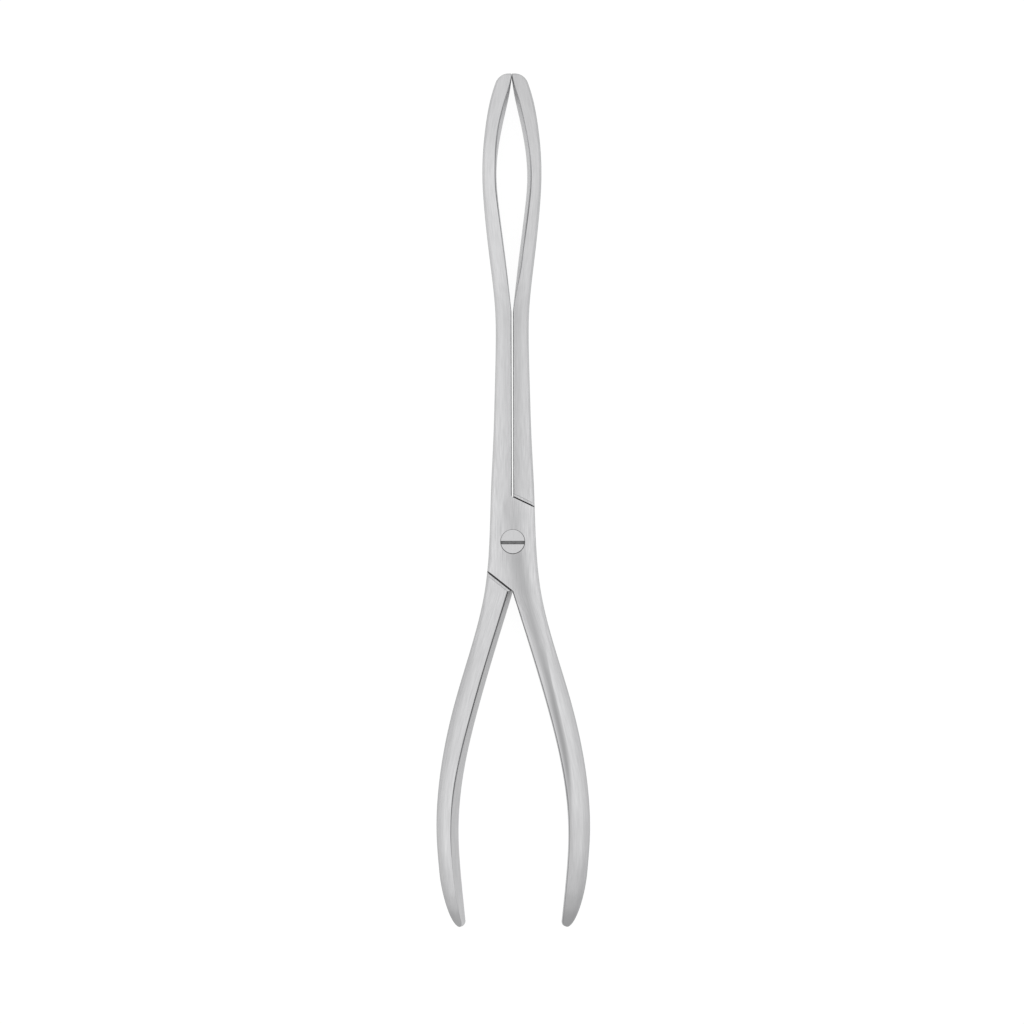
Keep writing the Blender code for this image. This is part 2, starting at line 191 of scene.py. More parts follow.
# How far the hollow lies from the centre line at its top and at the screw, and how far
# out from its slope the darkest line of its painted shade lies.
HOLLOW_TOP_OUT = -0.0004
HOLLOW_SCREW_OUT = 0.0014
HOLLOW_FORK_SHIFT = 0.0004
HOLLOW_NECK_SHIFT = 0.0007
HOLLOW_ARM_SHIFT = 0.0006

# The crease where a face meets the ground inner wall: its widths, its depth as a share
# of them, how far across its bottom lies, and how deep its inner lip, as shares too.
CREASE_WIDTH = 0.00050
LOOP_CREASE_WIDTH = 0.00035
CHEEK_CREASE_WIDTH = 0.00030
BOW_CREASE_WIDTH = 0.00025
HANDLE_CREASE_WIDTH = 0.0002
FAINT_CREASE_WIDTH = 0.00016
SLIT_CREASE_WIDTH = 0.00005
CREASE_STEEPNESS = 0.8
CREASE_BOTTOM_SHARE = 0.6
INNER_LIP_SHARE = 0.4

# A bar's width holds at least this many creases, and this many leans.
CREASES_IN_WIDTH = 6
LEANS_IN_WIDTH = 3

# The broken edges, and the strip filed down beside a shoulder.
EDGE_BREAK = 0.00014
FILED_WIDTH = 0.0009
FILED_DEPTH = 0.00010
FILED_STEP = 0.00012
HEAD_BREAK = 0.00005

# How much darker the steep part of an outer side is painted, for a duller finish and as
# painted shade where it turns away, and the filed strip beside a shoulder, as painted shade
# beside the joint's gap, as shares of the darkest, and how far from the slit its painted shade
# reaches.
SIDE_DULL_AND_SHADE = 0.80
FILED_SHADE = 0.3
SLIT_SHADE_WIDTH = 0.0030

# How dark the painted shade is on the joint's cut edges down into its gap, and on a
# crease's two lips as shares of the painted shade in the crease.
GAP_EDGE_SHADE = 0.9
OUTER_LIP_SHADE = 0.3
INNER_LIP_SHADE = 0.2

# The mean of the belt marks' noise, about which their tone swings.
STREAK_MEAN = 0.52

# Rounded ends.
TIP_CORNER = 0.0027
TIP_INNER_CORNER = 0.0004
TIP_EDGE = 0.0007
NOSE_LENGTH = 0.0220
NOSE_DROP = 0.0028
HEEL_CORNER = 0.0020
HEEL_FULLNESS = 1.7

# The lap joint's edges, as in the solids but for the closer gap at the upper shoulder.
UPPER_EDGE_ANGLE = math.radians(64.5)
LOWER_EDGE_ANGLE = math.radians(51.6)
UPPER_EDGE_REACH = 0.01315
LOWER_EDGE_REACH = 0.01266
SHOULDER_GAP = 0.0004
UPPER_SHOULDER_GAP = 0.0003
LAP_GAP = 0.0003
CROTCH_RELIEF = 0.0018

# The joint screw. Its head keeps to the axis, and lies a little to the left of and
# above the middle of its bore.
HEAD_RADIUS = 0.00392
HEAD_HEIGHT = 0.0019
BEARING_RADIUS = 0.0030
THREAD_RADIUS = 0.0026
SCREW_CLEARANCE = 0.0001
HEAD_TO_LEFT = 0.00002
HEAD_UPWARD = 0.00007
SLOT_WIDTH = 0.00108
SLOT_DEPTH = 0.0011
SLOT_OFFSET = 0.00036
SLOT_BREAK = 0.00002

# How finely the surfaces are divided, and from which angle an edge is sharp.
FACE_POINTS = 15
SIDE_POINTS = 25
CREASE_POINTS = 3
STATION_STEP = 0.0009
TIP_STATIONS = 16
EDGE_STATIONS = 12
HEEL_STATIONS = 34
ROUND_SEGMENTS = 160
SHARP_ANGLE = math.radians(28)

# How often a search for a crossing halves its range.
HALVINGS = 40

# How far a cutter reaches past the forging, and how far it stands proud of a face that
# it cuts through.
BEYOND = 0.02
JUST_OUTSIDE = 0.00003

# A cut face counts as level from this share of its normal along Z.
LEVEL_FROM = 0.9

# A rounded end stops just short of its full turn, so that its last section has a width.
END_FULLNESS = 0.995

MIDDLE = JOINT_DEPTH / 2

# The camera: the photo's square spans this much at the forceps' front face, about
# this point, and shows them turned by an eighth of a degree.
PHOTO_SPAN = 0.3354
PHOTO_CENTRE = (-0.00020, 0.00965)
PHOTO_TURN = math.radians(-0.12)
LENS = 100.0
SENSOR = 36.0

# The table: how far it reaches each way, how far it lies below the forceps, and how
# much of its white is its own glow, and how bright that is.
TABLE_REACH = 3.0
TABLE_DROP = 0.00002
TABLE_GLOW_SHARE = 0.88
TABLE_GLOW = 1.06

# The light of the room, and the lamp above.
ROOM_LIGHT = 0.95
LAMP_HEIGHT = 1.4
LAMP_SIZE = 1.8
LAMP_RADIANCE = 0.17


def smooth_line(points):
    """The natural cubic spline through (y, value) points, as a function of y."""
    ys, values = (np.array(column) for column in zip(*sorted(points)))
    gaps = np.diff(ys)
    slopes = np.diff(values) / gaps
    system = np.eye(len(ys))
    target = np.zeros(len(ys))
    for i in range(1, len(ys) - 1):
        system[i, i - 1:i + 2] = gaps[i - 1], 2 * (gaps[i - 1] + gaps[i]), gaps[i]
        target[i] = 6 * (slopes[i] - slopes[i - 1])
    bends = np.linalg.solve(system, target)

    def value_at(y):
        i = int(np.clip(np.searchsorted(ys, y) - 1, 0, len(ys) - 2))
        gap, past, left = gaps[i], y - ys[i], ys[i + 1] - y
        bend = (bends[i] * left ** 3 + bends[i + 1] * past ** 3) / (6 * gap)
        from_start = (values[i] / gap - bends[i] * gap / 6) * left
        from_end = (values[i + 1] / gap - bends[i + 1] * gap / 6) * past
        return float(bend + from_start + from_end)

    return value_at


def ease(t):
    """A smooth step from 0 to 1 as t goes from 0 to 1."""
    t = min(max(t, 0.0), 1.0)
    return t * t * (3 - 2 * t)


def eased_line(points):
    """Goes smoothly from each (y, value) point to the next, level at each point."""
    ordered = sorted(points)

    def value_at(y):
        value = ordered[0][1]
        for (y_0, value_0), (y_1, value_1) in zip(ordered, ordered[1:]):
            value += (value_1 - value_0) * ease((y - y_0) / (y_1 - y_0))
        return value

    return value_at


PAD_Y = JAW_REACH - PAD_LENGTH
CHEEK_Y = JAW_REACH - CHEEK_AT
LOOP_Y = JAW_REACH - LOOP_WIDEST_AT
HIP_Y = JAW_REACH - HIP_AT
FLANK_Y = JAW_REACH - FLANK_AT
SHANK_Y = (LOOP_END + FLAT_TOP) / 2
CALF_Y = CALF_AT - HANDLE_REACH
BOW_Y = BOW_AT - HANDLE_REACH
HEEL_Y = HEEL_LENGTH - HANDLE_REACH
NOSE_SHADE_Y = NOSE_SHADE_AT - HANDLE_REACH
NOSE_DARKEST_Y = NOSE_DARKEST_AT - HANDLE_REACH


def down_handle(steps):
    """The y of a place so many even steps below the handle's neck."""
    return -NECK_AT - steps * HANDLE_STEP


# The bar's form: its inner side on the jaw and on the handle, its outer side, its
# depth, its inner wall's lean to the front and to the back, and its rounding.
jaw_inside = smooth_line([
    (JAW_REACH, -TIP_OVERLAP),
    (PAD_Y, PAD_END_HALF),
    (CHEEK_Y, CHEEK_HALF),
    (LOOP_Y, LOOP_HALF),
    (HIP_Y, HIP_HALF),
    (FLANK_Y, FLANK_HALF),
    (LOOP_END, SLIT_HALF),
])
handle_inside = smooth_line([
    (-CROTCH, 0.0),
    (-FLARE_AT, FLARE_HALF),
    (CALF_Y, CALF_HALF),
    (BOW_Y, BOW_HALF),
    (HEEL_Y, HEEL_HALF),
    (-HANDLE_REACH, HANDLE_END_HALF),
])
outside = smooth_line([
    (JAW_REACH, TIP_GAP_HALF + TIP_WIDTH),
    (PAD_Y, PAD_END_HALF + PAD_WIDTH),
    (CHEEK_Y, CHEEK_HALF + PAD_WIDTH),
    (LOOP_Y, LOOP_HALF + LOOP_BAR_WIDTH),
    (HIP_Y, HIP_HALF + HIP_WIDTH),
    (FLANK_Y, FLANK_HALF + FLANK_WIDTH),
    (LOOP_END, SLIT_HALF + THROAT_WIDTH),
    (WAIST_AT, SLIT_HALF + WAIST_WIDTH),
    (SHANK_Y, SLIT_HALF + SHANK_WIDTH),
    (SWELL_AT, SLIT_HALF + SWELL_WIDTH),
    (FLAT_TOP, JOINT_TOP_HALF_WIDTH),
    (0.0, BOSS_HALF_WIDTH),
    (-CROTCH, CROTCH_HALF_WIDTH),
    (-FLARE_AT, FLARE_HALF + FLARE_WIDTH),
    (CALF_Y, CALF_HALF + CALF_WIDTH),
    (BOW_Y, BOW_HALF + BOW_WIDTH),
    (HEEL_Y, HEEL_HALF + HEEL_WIDTH),
])
depth = eased_line([
    (FLANK_Y, JAW_DEPTH),
    (LOOP_END, SHANK_DEPTH),
    (SHANK_Y, SHANK_DEPTH),
    (FLAT_TOP, JOINT_DEPTH),
    (-FLAT_BOTTOM, JOINT_DEPTH),
    (-FLARE_AT, HANDLE_DEPTH),
    (BOW_Y, HANDLE_DEPTH),
    (-HANDLE_REACH, HANDLE_END_DEPTH),
])
lean_front = eased_line([
    (JAW_REACH, TIP_LEAN),
    (CHEEK_Y + PAD_LENGTH, CHEEK_LEAN_FRONT),
    (CHEEK_Y, CHEEK_LEAN_FRONT),
    (LOOP_Y, SHANK_LEAN),
    (-CROTCH, SHANK_LEAN),
    (-FLARE_AT, HANDLE_LEAN_FRONT),
])
lean_back = eased_line([
    (JAW_REACH, TIP_LEAN),
    (CHEEK_Y + PAD_LENGTH, CHEEK_LEAN_BACK),
    (FLANK_Y, CHEEK_LEAN_BACK),
    (LOOP_END, SHANK_LEAN),
    (0.0, SHANK_LEAN),
    (-CROTCH, CROTCH_LEAN_BACK),
    (-FLARE_AT, HANDLE_LEAN_BACK),
    (BOW_Y, HEEL_LEAN_BACK),
])
rounding = eased_line([
    (LOOP_END, JAW_ROUND),
    (FLAT_TOP, BOSS_ROUND),
    (-FLAT_BOTTOM, BOSS_ROUND),
    (-FLARE_AT, HANDLE_ROUND),
])

# The creases along the inner wall's front and back edges: how wide they are, and
# how dark the painted shade in them is, darkest where the tips meet. Those on the back
# are cut deeper, and the rear half shows them.
crease_front = eased_line([
    (JAW_REACH, FAINT_CREASE_WIDTH),
    (PAD_Y, FAINT_CREASE_WIDTH),
    (CHEEK_Y, CREASE_WIDTH),
    (LOOP_Y, LOOP_CREASE_WIDTH),
    (FLANK_Y, FAINT_CREASE_WIDTH),
    (LOOP_END, SLIT_CREASE_WIDTH),
    (FLAT_TOP, SLIT_CREASE_WIDTH),
    (-CROTCH, FAINT_CREASE_WIDTH),
    (-FLARE_AT, HANDLE_CREASE_WIDTH),
])
crease_shade_front = eased_line([
    (JAW_REACH, 0.9),
    (JAW_REACH - TIP_SHADE_LENGTH, 0.1),
    (PAD_Y, 0.1),
    (JAW_REACH - UNDER_PAD_AT, 0.25),
    (CHEEK_Y, 0.15),
    (LOOP_Y, 0.4),
    (HIP_Y, 0.5),
    (FLANK_Y, 0.25),
    (LOOP_END, 0.0),
    (-CROTCH, 0.2),
    (-FLARE_AT, 0.35),
    (CALF_Y, 0.4),
    (HEEL_Y, 0.0),
])
crease_back = eased_line([
    (JAW_REACH, FAINT_CREASE_WIDTH),
    (CHEEK_Y, CHEEK_CREASE_WIDTH),
    (HIP_Y, CREASE_WIDTH),
    (FLANK_Y, LOOP_CREASE_WIDTH),
    (LOOP_END, SLIT_CREASE_WIDTH),
    (FLAT_TOP, SLIT_CREASE_WIDTH),
    (0.0, CREASE_WIDTH),
    (CALF_Y, CREASE_WIDTH),
    (BOW_Y, BOW_CREASE_WIDTH),
    (HEEL_Y, SLIT_CREASE_WIDTH),
])
crease_shade_back = eased_line([
    (JAW_REACH, 1.0),
    (PAD_Y, 0.15),
    (CHEEK_Y, 0.1),
    (JAW_REACH - UNDER_CHEEK_AT, 0.0),
    (LOOP_Y, 0.25),
    (HIP_Y, 0.3),
    (FLANK_Y, 0.15),
    (LOOP_END, 0.1),
    (FLAT_TOP, 0.1),
    (-CROTCH, 0.65),
    (-NECK_AT, 0.3),
    (-FLARE_AT, 0.42),
    (CALF_Y, 0.24),
    (BOW_Y, 0.2),
    (HEEL_Y, 0.08),
])
# Painted shade in the hollow behind each jaw tip's pad.
pad_hollow_shade = eased_line([
    (JAW_REACH - PAD_HOLLOW_END, 0.0),
    (JAW_REACH - PAD_HOLLOW_FADE, 0.15),
    (JAW_REACH - PAD_HOLLOW_FULL, 0.15),
    (JAW_REACH - PAD_HOLLOW_START, 0.0),
])
# How much darker the inner wall is painted along its length, as painted shade, most at the
# crotch.
wall_shade = eased_line([
    (PAD_Y, 0.0),
    (FLAT_TOP, 0.0),
    (-CROTCH, 0.55),
    (-FLARE_AT, 0.42),
    (CALF_Y, 0.30),
    (-HANDLE_REACH, 0.30),
])

# The darker band of painted shade that runs from above the screw down the front of the
# handle, over the hollow ground in below the boss: the distance of its slope from the
# centre line, and how deep the hollow is.
hollow_at = smooth_line([
    (HOLLOW_TOP_AT, HOLLOW_TOP_OUT),
    (0.0, HOLLOW_SCREW_OUT),
    (-FLAT_BOTTOM, LEDGE_START_AT),
    (-FLARE_AT, FLARE_HALF + LEDGE_FLARE_INSET),
    (CALF_Y, CALF_HALF + LEDGE_CALF_INSET),
    (BOW_Y, BOW_HALF + LEDGE_BOW_INSET),
])
hollow_depth = eased_line([
    (-FLAT_BOTTOM, 0.0),
    (-FLAT_BOTTOM - LEDGE_RUN_IN, LEDGE_DROP),
    (CALF_Y, LEDGE_DROP),
    (BOW_Y, 0.0),
])
# How far out from the slope the darkest line of the painted shade lies, how far that
# shade reaches out and in from that line, and how dark it is there.
hollow_shift = eased_line([
    (-UNDER_SCREW_AT, 0.0),
    (-FORK_AT, HOLLOW_FORK_SHIFT),
    (down_handle(0), HOLLOW_NECK_SHIFT),
    (down_handle(1), HOLLOW_ARM_SHIFT),
    (down_handle(2), 0.0),
])
spread_outward = eased_line([
    (HOLLOW_TOP_AT, 0.0033),
    (-BOSS_FOOT_AT, 0.0020),
    (-FORK_OUTSIDE_AT, 0.0019),
    (-ARM_AT, 0.0016),
    (-BEND_AT, 0.0013),
    (-LEDGE_END_AT, 0.0007),
])
spread_inward = eased_line([
    (HOLLOW_TOP_AT, 0.0033),
    (-UNDER_SCREW_AT, 0.0046),
    (-BOSS_FOOT_AT, 0.0046),
    (-FORK_INSIDE_AT, 0.0026),
    (-ARM_AT, 0.0015),
    (-BEND_AT, 0.0012),
    (-LEDGE_END_AT, 0.0007),
])
hollow_shade = eased_line([
    (HOLLOW_FADE_AT, 0.0),
    (OVER_SCREW_AT, 0.45),
    (0.0, 0.50),
    (-UNDER_SCREW_AT, 0.72),
    (down_handle(0), 0.66),
    (down_handle(1), 0.80),
    (down_handle(2), 0.94),
    (down_handle(3), 0.92),
    (down_handle(4), 0.60),
    (BOW_Y, 0.45),
    (down_handle(6), 0.0),
])

# How dull the front and back faces are painted: the jaws are duller towards the tips,
# and the handles' ends are painted darker as shade where the nose slopes away.
front_dull_and_shade = eased_line([
    (JAW_REACH, 0.28),
    (CHEEK_Y, 0.26),
    (LOOP_Y, 0.08),
    (HIP_Y, 0.08),
    (LOOP_END, 0.12),
    (-CROTCH, 0.12),
    (-FLARE_AT, 0.08),
    (-LEDGE_END_AT, 0.12),
    (down_handle(5), 0.27),
    (down_handle(6), 0.52),
    (NOSE_SHADE_Y, 0.78),
    (NOSE_DARKEST_Y, 1.0),
])
back_dull_and_shade = eased_line([
    (JAW_REACH, 0.42),
    (CHEEK_Y, 0.36),
    (LOOP_Y, 0.26),
    (LOOP_END, 0.26),
    (WAIST_AT, 0.20),
    (0.0, 0.20),
    (-FLARE_AT, 0.18),
    (BOW_Y, 0.05),
    (down_handle(6), 0.27),
    (NOSE_SHADE_Y, 0.52),
    (NOSE_DARKEST_Y, 0.83),
])
# Painted shade in a strip along the slit on both faces.
slit_shade_front = eased_line([
    (HIP_Y, 0.0),
    (LOOP_END, 0.30),
    (FLAT_TOP, 0.25),
    (0.0, 0.0),
])
slit_shade_back = eased_line([
    (HIP_Y, 0.0),
    (LOOP_END, 0.48),
    (FLAT_TOP, 0.45),
    (0.0, 0.0),
])


def corner_loss(past_start, radius):
    """How much a rounded corner takes off, past_start beyond where it begins."""
    into = min(max(past_start, 0.0), radius)
    return radius - math.sqrt(radius ** 2 - into ** 2)


def jaw_line(y):
    """The inner side of the jaw bar, and of the shank below the loop."""
    if y < LOOP_END:
        return SLIT_HALF
    corner = corner_loss(y - (JAW_REACH - TIP_INNER_CORNER), TIP_INNER_CORNER)
    return max(jaw_inside(y), TIP_GAP_HALF) + corner * END_FULLNESS


def handle_line(y):
    """The inner side of the handle bar, with the heel's inner corner."""
    start = -(HANDLE_REACH - HEEL_CORNER)
    return handle_inside(y) + END_FULLNESS * corner_loss(start - y, HEEL_CORNER)


def bar_width(y):
    """The width of either bar, seen from the front."""
    inner = jaw_line(y) if y > 0 else max(handle_line(y), 0.0)
    return outer_line(y) - inner


def outer_line(y):
    """The outer side of either bar, with the tip's corner and the heel's sweep."""
    if y >= HEEL_Y:
        return outside(y) - corner_loss(y - (JAW_REACH - TIP_CORNER), TIP_CORNER)
    share = END_FULLNESS * (HEEL_Y - y) / HEEL_LENGTH
    sweep = (HEEL_WIDTH - HEEL_CORNER) * math.sqrt(1 - share ** HEEL_FULLNESS)
    return handle_inside(y) + HEEL_CORNER + sweep


def half_depth(y):
    """Half the depth front to back, less the rounding at the tips and the nose."""
    at_tip = corner_loss(y - (JAW_REACH - TIP_EDGE), TIP_EDGE)
    into_nose = END_FULLNESS * max(-y - (HANDLE_REACH - NOSE_LENGTH), 0.0) / NOSE_LENGTH
    at_heel = NOSE_DROP * (1 - math.sqrt(1 - into_nose ** 2))
    return depth(y) / 2 - at_tip - at_heel


def upper_edge(y):
    """Where the boss's upper edge crosses the section at y."""
    rise = math.sin(UPPER_EDGE_ANGLE) * y
    return (UPPER_EDGE_REACH - rise) / math.cos(UPPER_EDGE_ANGLE)


def lower_edge(y):
    """Where the boss's lower edge crosses the section at y."""
    rise = math.sin(LOWER_EDGE_ANGLE) * y
    return -(LOWER_EDGE_REACH + rise) / math.cos(LOWER_EDGE_ANGLE)


def crossing(line_a, line_b, low, high):
    """The y between low and high at which two lines meet."""
    low_side = line_a(low) > line_b(low)
    for _ in range(HALVINGS):
        y = (low + high) / 2
        if (line_a(y) > line_b(y)) == low_side:
            low = y
        else:
            high = y
    return y


UPPER_CORNER_Y = crossing(upper_edge, lambda y: -jaw_line(y), 0.0, JAW_REACH / 2)
UPPER_END_Y = crossing(upper_edge, outer_line, 0.0, UPPER_CORNER_Y)
LOWER_CORNER_Y = crossing(lower_edge, handle_inside, HEEL_Y / 2, 0.0)
LOWER_END_Y = crossing(lower_edge, lambda y: -outer_line(y), LOWER_CORNER_Y, 0.0)


def darken_further(dull_and_shade, more):
    """The dullness and painted shade of a surface, made darker still by a share of what is
    left.
    """
    return 1 - (1 - dull_and_shade) * (1 - more)


def outer_side(y, half):
    """The rounded outer side, front to back, as (distance out, z, painted shade, dullness and
    painted shade); its steep part is painted darker, as shade and a duller finish.
    """
    radius = min(rounding(y), bar_width(y) * ROUND_SHARE)
    power = 2 / SIDE_SQUARENESS
    points = []
    for k in range(SIDE_POINTS):
        turn = math.pi * k / (SIDE_POINTS - 1)
        bulge = math.sin(turn) ** power if 0 < k < SIDE_POINTS - 1 else 0.0
        height = math.copysign(abs(math.cos(turn)) ** power, math.cos(turn))
        face = back_dull_and_shade(y) + (front_dull_and_shade(y) - back_dull_and_shade(y)) * (height + 1) / 2
        dull_and_shade = darken_further(face, SIDE_DULL_AND_SHADE * (1 - height ** 2) ** 2)
        reach = outer_line(y) - radius * (1 - bulge)
        points.append((reach, MIDDLE + half * height, 0.0, dull_and_shade))
    return points


def inner_wall(y, half):
    """The inner wall, front to back, as (distance in from its ridge, z, painted shade,
    dullness and painted shade).

    A crease with a lip beside it runs along each edge of the wall, with painted shade in it,
    and painted shade lies on the wall in the hollow behind each pad.
    """
    width = bar_width(y)
    groove_front = min(crease_front(y), width / CREASES_IN_WIDTH)
    groove_back = min(crease_back(y), width / CREASES_IN_WIDTH)
    sink_front = groove_front * CREASE_STEEPNESS
    sink_back = groove_back * CREASE_STEEPNESS
    front = min(lean_front(y), width / LEANS_IN_WIDTH)
    back = min(lean_back(y), width / LEANS_IN_WIDTH)
    ridge = MIDDLE + half * (1 - 2 * front / (front + back))
    top, bottom = MIDDLE + half - hollow_depth(y), MIDDLE - half
    dark_front, dark_back = crease_shade_front(y), crease_shade_back(y)
    pad_shade = pad_hollow_shade(y)
    dull_and_shade = wall_shade(y)
    points = [
        (front + groove_front, top, OUTER_LIP_SHADE * dark_front, front_dull_and_shade(y)),
        (front + groove_front * CREASE_BOTTOM_SHARE, top - sink_front, dark_front, dull_and_shade),
        (front, top - sink_front * INNER_LIP_SHARE, INNER_LIP_SHADE * dark_front, dull_and_shade),
    ]
    run = SIDE_POINTS - 2 * CREASE_POINTS
    middle = run // 2
    for k in range(run):
        if k <= middle:
            t = (k + 1) / (middle + 1)
            z = top - sink_front + (ridge - top + sink_front) * t
            points.append((front * (1 - t), z, pad_shade, dull_and_shade))
        else:
            t = (k - middle) / (run - middle)
            z = ridge + (bottom + sink_back - ridge) * t
            points.append((back * t, z, pad_shade, dull_and_shade))
    points += [
        (back, bottom + sink_back * INNER_LIP_SHARE, INNER_LIP_SHADE * dark_back, dull_and_shade),
        (back + groove_back * CREASE_BOTTOM_SHARE, bottom + sink_back, dark_back, dull_and_shade),
        (back + groove_back, bottom, OUTER_LIP_SHADE * dark_back, back_dull_and_shade(y)),
    ]
    return points


def break_edge(z, half):
    """How far the broken front edge of a boss stands back at height z."""
    return max(0.0, EDGE_BREAK - (MIDDLE + half - z))


def boss_side(outer, edge, half):
    """The outer side's points, cut off at a boss's edge, with painted shade below the edge
    down into the joint's gap.
    """
    points = []
    for reach, z, painted_shade, dull_and_shade in outer:
        limit = edge - break_edge(z, half)
        if reach > limit:
            below = min(1.0, max(0.0, MIDDLE + half - z) / EDGE_BREAK)
            points.append((limit, z, GAP_EDGE_SHADE * below, dull_and_shade))
        else:
            points.append((reach, z, painted_shade, dull_and_shade))
    return points


def face_points(start, end, y, sign):
    """Points on the front or back face between two edges, as (x, z, painted shade, dullness
    and painted shade).
    """
    points = []
    for k in range(1, FACE_POINTS + 1):
        t = k / (FACE_POINTS + 1)
        x = start[0] + (end[0] - start[0]) * t
        z = start[1]
        # Painted shade along the slit on both faces, and in a band down the hollow on the
        # front.
        near_slit = math.exp(-(x / SLIT_SHADE_WIDTH) ** 2)
        if sign > 0:
            past = x - hollow_at(y)
            z = end[1] - hollow_depth(y) * (1 - ease((past / LEDGE_SLOPE + 1) / 2))
            aside = past - hollow_shift(y)
            spread = spread_outward(y) if aside > 0 else spread_inward(y)
            in_hollow = math.exp(-(aside / spread) ** 2)
            dull_and_shade = darken_further(front_dull_and_shade(y), slit_shade_front(y) * near_slit)
            dull_and_shade = darken_further(dull_and_shade, hollow_shade(y) * in_hollow)
        else:
            dull_and_shade = darken_further(back_dull_and_shade(y), slit_shade_back(y) * near_slit)
        points.append((x, z, 0.0, dull_and_shade))
    return points


def section(y):
    """The front half's outline at y, as (x, z, painted shade, dullness and painted shade)
    points in one turn.
    """
    half = half_depth(y)
    outer = outer_side(y, half)
    if y > UPPER_CORNER_Y:
        right = [(-jaw_line(y) - inset, *rest) for inset, *rest in inner_wall(y, half)]
    else:
        right = boss_side(outer, upper_edge(y), half)
    if y < LOWER_CORNER_Y:
        left = [(handle_line(y) + inset, *rest) for inset, *rest in inner_wall(y, half)]
    else:
        left = [(-x, *rest) for x, *rest in boss_side(outer, -lower_edge(y), half)]
    left.reverse()
    back = face_points(right[-1], left[0], y, -1)
    front = face_points(left[-1], right[0], y, 1)
    return right + back + left + front


def edge_ends(end_y, angle):
    """Places, outermost last, where a boss edge runs out over the rounded side."""
    run_out = BOSS_ROUND / math.tan(angle)
    left = range(EDGE_STATIONS, -1, -1)
    return [end_y + run_out * k / EDGE_STATIONS for k in left]


def stations():
    """The places along the length at which the forging's sections are taken."""
    tip_start = JAW_REACH - TIP_CORNER
    marks = [
        tip_start,
        PAD_Y,
        LOOP_END,
        FLAT_TOP,
        UPPER_CORNER_Y + SHOULDER_GAP,
        UPPER_CORNER_Y,
        *edge_ends(UPPER_END_Y, UPPER_EDGE_ANGLE),
        *reversed(edge_ends(LOWER_END_Y, -LOWER_EDGE_ANGLE)),
        LOWER_CORNER_Y,
        LOWER_CORNER_Y - SHOULDER_GAP,
        -CROTCH - CROTCH_RELIEF,
        HEEL_Y,
    ]
    places = []
    for k in range(TIP_STATIONS, 0, -1):
        turn = math.pi / 2 * k / TIP_STATIONS
        places.append(tip_start + TIP_CORNER * math.sin(turn))
    for start, end in zip(marks, marks[1:]):
        count = max(1, math.ceil((start - end) / STATION_STEP))
        places += [start + (end - start) * k / count for k in range(count)]
    for k in range(HEEL_STATIONS + 1):
        turn = math.pi / 2 * k / HEEL_STATIONS
        places.append(HEEL_Y - HEEL_LENGTH * math.sin(turn))
    return places


def skin(name, rings, grain=None, tone=None):
    """A closed solid through rings of equally many points.

    grain and tone hold two numbers for each point of each ring, and become UV maps:
    the place across and along the grain in metres, and the painted shade and the dullness with
    more painted shade.
    """
    bm = bmesh.new()
    maps = []
    for label, values in (("grain", grain), ("tone", tone)):
        if values:
            maps.append((bm.loops.layers.uv.new(label), values))
    loops = [[bm.verts.new(point) for point in ring] for ring in rings]
    count = len(loops[0])

    def add_face(places):
        face = bm.faces.new([loops[ring][point] for ring, point in places])
        for layer, values in maps:
            for loop, (ring, point) in zip(face.loops, places):
                loop[layer].uv = values[ring][point]

    for i in range(len(loops) - 1):
        for k in range(count):
            after = (k + 1) % count
            add_face(((i, k), (i, after), (i + 1, after), (i + 1, k)))
    for end in (0, len(loops) - 1):
        add_face([(end, k) for k in range(count)])
    bmesh.ops.recalc_face_normals(bm, faces=bm.faces)
    mesh = bpy.data.meshes.new(name)
    bm.to_mesh(mesh)
    bm.free()
    return mesh


def grain_line(y):
    """The x that a belt mark beside the inner sides has at y: they bow with the bar."""
    if y > LOOP_END:
        return SLIT_HALF - jaw_inside(y)
    return handle_inside(y) if y < -CROTCH else 0.0


def forging_mesh():
    """The front half as forged and ground, before its recess and bore are cut."""
    rings = []
    grain = []
    tone = []
    for y in stations():
        points = section(y)
        rings.append([(x, y, z) for x, z, _, _ in points])
        grain.append([(x - grain_line(y), y) for x, _, _, _ in points])
        tone.append([(painted_shade, dull_and_shade) for _, _, painted_shade, dull_and_shade in points])
    return skin("forging", rings, grain, tone)


def turned_mesh(name, profile):
    """A solid of revolution about Z from (radius, z) points."""
    turns = [2 * math.pi * k / ROUND_SEGMENTS for k in range(ROUND_SEGMENTS)]
    rings = [[(r * math.cos(a), r * math.sin(a), z) for a in turns] for r, z in profile]
    return skin(name, rings)


def add_object(name, mesh):
    """A new object in the scene, at the origin."""
    obj = bpy.data.objects.new(name, mesh)
    bpy.context.scene.collection.objects.link(obj)
    return obj


def turn_over(mesh):
    """Turns a front piece's mesh about its length into its place at the rear."""
    for vertex in mesh.vertices:
        x, y, z = vertex.co
        vertex.co = (-x, y, JOINT_DEPTH - z)
    return mesh


def recess_outline(back_off):
    """The room for the other half's boss, with its shoulders moved back_off away."""
    upper = UPPER_EDGE_REACH + UPPER_SHOULDER_GAP + back_off
    lower = LOWER_EDGE_REACH + SHOULDER_GAP + back_off
    corner = SHOULDER_GAP + back_off - lower_edge(LOWER_CORNER_Y)
    crotch = -CROTCH - CROTCH_RELIEF - back_off

    def upper_shoulder(x):
        return (upper + math.cos(UPPER_EDGE_ANGLE) * x) / math.sin(UPPER_EDGE_ANGLE)

    def lower_shoulder(x):
        return (math.cos(LOWER_EDGE_ANGLE) * x - lower) / math.sin(LOWER_EDGE_ANGLE)

    return [
        (-BEYOND, upper_shoulder(-BEYOND)),
        (-BEYOND, crotch),
        (0.0, crotch),
        (corner, lower_shoulder(corner)),
        (BEYOND, lower_shoulder(BEYOND)),
        (BEYOND, upper_shoulder(0.0)),
        (0.0, upper_shoulder(0.0)),
    ]


